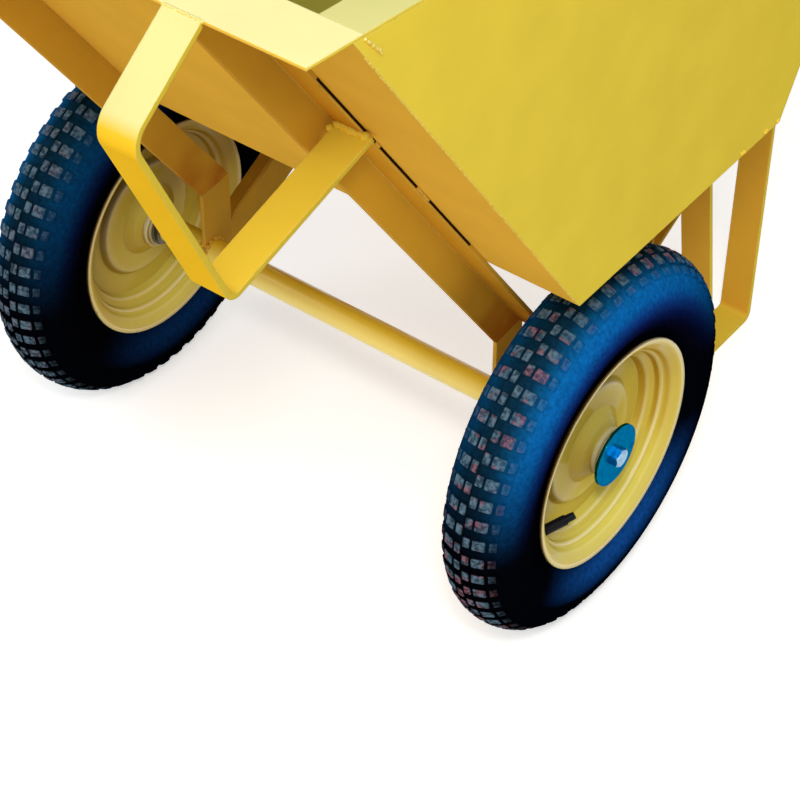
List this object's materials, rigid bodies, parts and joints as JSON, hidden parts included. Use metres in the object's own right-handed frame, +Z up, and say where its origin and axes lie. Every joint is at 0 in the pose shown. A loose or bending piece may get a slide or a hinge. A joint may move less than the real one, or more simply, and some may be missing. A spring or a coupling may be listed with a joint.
{
  "type": "two-wheeled wheelbarrow",
  "caption": "Steel site wheelbarrow with a deep welded tray, a pair of pneumatic wheels on one axle, flat-bar tipping feet, rear legs and tubular handles.",
  "frame": {"origin": "on the ground, midway between the two wheels and midway between the front bends of the tipping feet and the ends of the grips", "axes": "+X to the right-hand wheel seen from the handles, +Y from the nose to the handles, +Z up"},
  "size_m": [0.623, 1.377, 0.8611],
  "materials": {
    "yellow_paint": "gloss enamel on steel sheet, angle iron, flat bar and tube",
    "tyre_rubber": "moulded black rubber with a dull sheen",
    "tube_rubber": "smooth butyl rubber",
    "grip_rubber": "matt moulded rubber",
    "cap_plastic": "moulded black plastic",
    "bush_plastic": "natural nylon",
    "blue_zinc": "blue passivated zinc plating",
    "bare_steel": "bright drawn bar"
  },
  "bodies": {
    "chassis": {"nose_panel": "yellow_paint", "floor_panel": "yellow_paint", "rear_panel": "yellow_paint", "left_side_panel": "yellow_paint", "right_side_panel": "yellow_paint", "front_lip": "yellow_paint", "rear_lip": "yellow_paint", "left_rim_bar": "yellow_paint", "right_rim_bar": "yellow_paint", "left_front_strut": "yellow_paint", "right_front_strut": "yellow_paint", "left_axle_hanger": "yellow_paint", "right_axle_hanger": "yellow_paint", "left_rear_rail": "yellow_paint", "right_rear_rail": "yellow_paint", "left_tray_post": "yellow_paint", "right_tray_post": "yellow_paint", "floor_cross_bar": "yellow_paint", "rail_cross_tube": "yellow_paint", "left_tipping_foot": "yellow_paint", "right_tipping_foot": "yellow_paint", "left_rear_leg": "yellow_paint", "right_rear_leg": "yellow_paint", "left_handle_tube": "yellow_paint", "right_handle_tube": "yellow_paint", "axle_tube": "yellow_paint", "left_grip": "grip_rubber", "right_grip": "grip_rubber", "axle_bar": "bare_steel", "left_axle_collar": "bare_steel", "right_axle_collar": "bare_steel", "left_hub_washer": "blue_zinc", "right_hub_washer": "blue_zinc", "left_axle_bolt": "blue_zinc", "right_axle_bolt": "blue_zinc"},
    "left_wheel": {"left_tyre": "tyre_rubber", "left_inner_tube": "tube_rubber", "left_rim_outer": "yellow_paint", "left_rim_inner": "yellow_paint", "left_hub": "yellow_paint", "left_hub_bushes": "bush_plastic", "left_valve_stem": "tube_rubber", "left_valve_cap": "cap_plastic"},
    "right_wheel": {"right_tyre": "tyre_rubber", "right_inner_tube": "tube_rubber", "right_rim_outer": "yellow_paint", "right_rim_inner": "yellow_paint", "right_hub": "yellow_paint", "right_hub_bushes": "bush_plastic", "right_valve_stem": "tube_rubber", "right_valve_cap": "cap_plastic"}
  },
  "joints": [
    {"name": "left_wheel_spin", "type": "hinge", "parent": "chassis", "child": "left_wheel", "pos_m": [-0.2685, -0.19533, 0.19], "axis": [1, 0, 0], "continuous": true},
    {"name": "right_wheel_spin", "type": "hinge", "parent": "chassis", "child": "right_wheel", "pos_m": [0.2685, -0.19533, 0.19], "axis": [1, 0, 0], "continuous": true}
  ]
}
